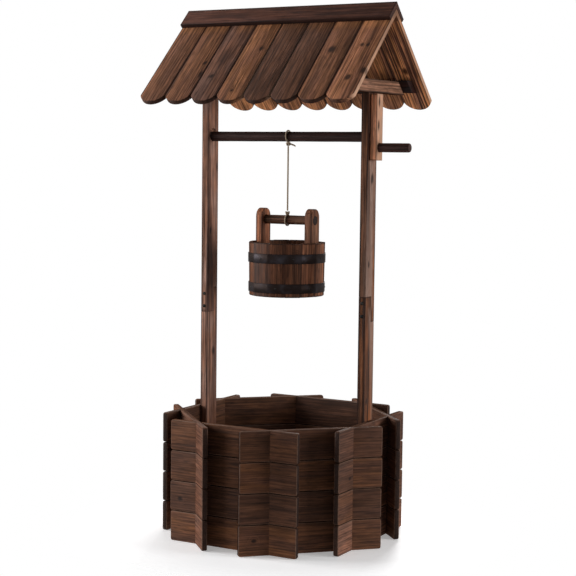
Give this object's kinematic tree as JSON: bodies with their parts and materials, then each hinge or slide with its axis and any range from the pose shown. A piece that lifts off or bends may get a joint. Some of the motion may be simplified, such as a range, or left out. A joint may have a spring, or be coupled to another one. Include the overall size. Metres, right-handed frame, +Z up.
{
  "type": "wishing well planter",
  "caption": "Octagonal wooden wishing well planter with a gabled board roof, a crank windlass and a hanging stave bucket.",
  "frame": {"origin": "On the ground under the middle of the octagonal planter, on the underside of the middle floor bearer.", "axes": "+Z up. X runs along the roof ridge and the windlass rod, with the crank on +X. -Y is the front."},
  "size_m": [0.5597, 0.53, 1.1499],
  "materials": {
    "planter_boards": "charred and brushed fir, matt",
    "floor_boards": "plain fir",
    "post_wood": "charred fir, dark red-brown",
    "rod_wood": "nearly black turned wood",
    "arm_wood": "pale sawn fir",
    "beam_wood": "pale sawn fir with clear grain",
    "batten_wood": "dark charred fir",
    "roof_boards": "lightly charred fir with knots",
    "ridge_boards": "charred fir, dark",
    "bucket_wood": "charred fir, red-brown",
    "hoop_iron": "black flat iron with a dull sheen",
    "screw_steel": "dark screws",
    "jute_rope": "twisted jute"
  },
  "bodies": {
    "frame": {"back_ridge_cap": "ridge_boards", "back_roof_batten": "batten_wood", "back_roof_board_1": "roof_boards", "back_roof_board_2": "roof_boards", "back_roof_board_3": "roof_boards", "back_roof_board_4": "roof_boards", "back_roof_board_5": "roof_boards", "back_roof_board_6": "roof_boards", "back_roof_board_7": "roof_boards", "back_roof_board_8": "roof_boards", "floor_bearer_1": "floor_boards", "floor_bearer_2": "floor_boards", "floor_bearer_3": "floor_boards", "floor_slat_1": "floor_boards", "floor_slat_2": "floor_boards", "floor_slat_3": "floor_boards", "floor_slat_4": "floor_boards", "floor_slat_5": "floor_boards", "front_ridge_cap": "ridge_boards", "front_roof_batten": "batten_wood", "front_roof_board_1": "roof_boards", "front_roof_board_2": "roof_boards", "front_roof_board_3": "roof_boards", "front_roof_board_4": "roof_boards", "front_roof_board_5": "roof_boards", "front_roof_board_6": "roof_boards", "front_roof_board_7": "roof_boards", "front_roof_board_8": "roof_boards", "left_gable_beam": "beam_wood", "left_post_lower": "post_wood", "left_post_screw_1": "screw_steel", "left_post_screw_2": "screw_steel", "left_post_upper": "post_wood", "planter_wall_back": "planter_boards", "planter_wall_back_left": "planter_boards", "planter_wall_back_right": "planter_boards", "planter_wall_front": "planter_boards", "planter_wall_front_left": "planter_boards", "planter_wall_front_right": "planter_boards", "planter_wall_left": "planter_boards", "planter_wall_right": "planter_boards", "right_gable_beam": "beam_wood", "right_post_lower": "post_wood", "right_post_screw_1": "screw_steel", "right_post_screw_2": "screw_steel", "right_post_upper": "post_wood"},
    "windlass": {"windlass_rod": "rod_wood", "crank_arm": "arm_wood", "crank_handle": "rod_wood"},
    "rope": {"rope_turn_on_rod": "jute_rope", "rope_run": "jute_rope"},
    "hitch": {"rope_hitch_on_dowel": "jute_rope"},
    "bucket": {"bucket_staves": "bucket_wood", "bucket_floor": "bucket_wood", "bucket_lower_hoop": "hoop_iron", "bucket_upper_hoop": "hoop_iron", "bucket_left_ear": "bucket_wood", "bucket_right_ear": "bucket_wood", "bucket_handle_dowel": "bucket_wood"}
  },
  "joints": [
    {"name": "windlass_turn", "type": "hinge", "parent": "frame", "child": "windlass", "pos_m": [0, 0, 0.8692], "axis": [1, 0, 0], "range_deg": [0, 540]},
    {"name": "bucket_swing", "type": "hinge", "parent": "frame", "child": "rope", "pos_m": [0.0025, 0, 0.8692], "axis": [1, 0, 0], "range_deg": [-30, 30]},
    {"name": "bucket_lift", "type": "slide", "parent": "rope", "child": "hitch", "axis": [0, 0, 1], "range_m": [0, 0.1192], "deforming": ["rope_run"]},
    {"name": "bucket_tilt", "type": "hinge", "parent": "hitch", "child": "bucket", "pos_m": [0.0025, 0, 0.688], "axis": [1, 0, 0], "range_deg": [-20, 20]}
  ],
  "couplings": [
    {"joint": "windlass_turn", "follows": "bucket_lift", "rad_per_m": 79.05}
  ]
}
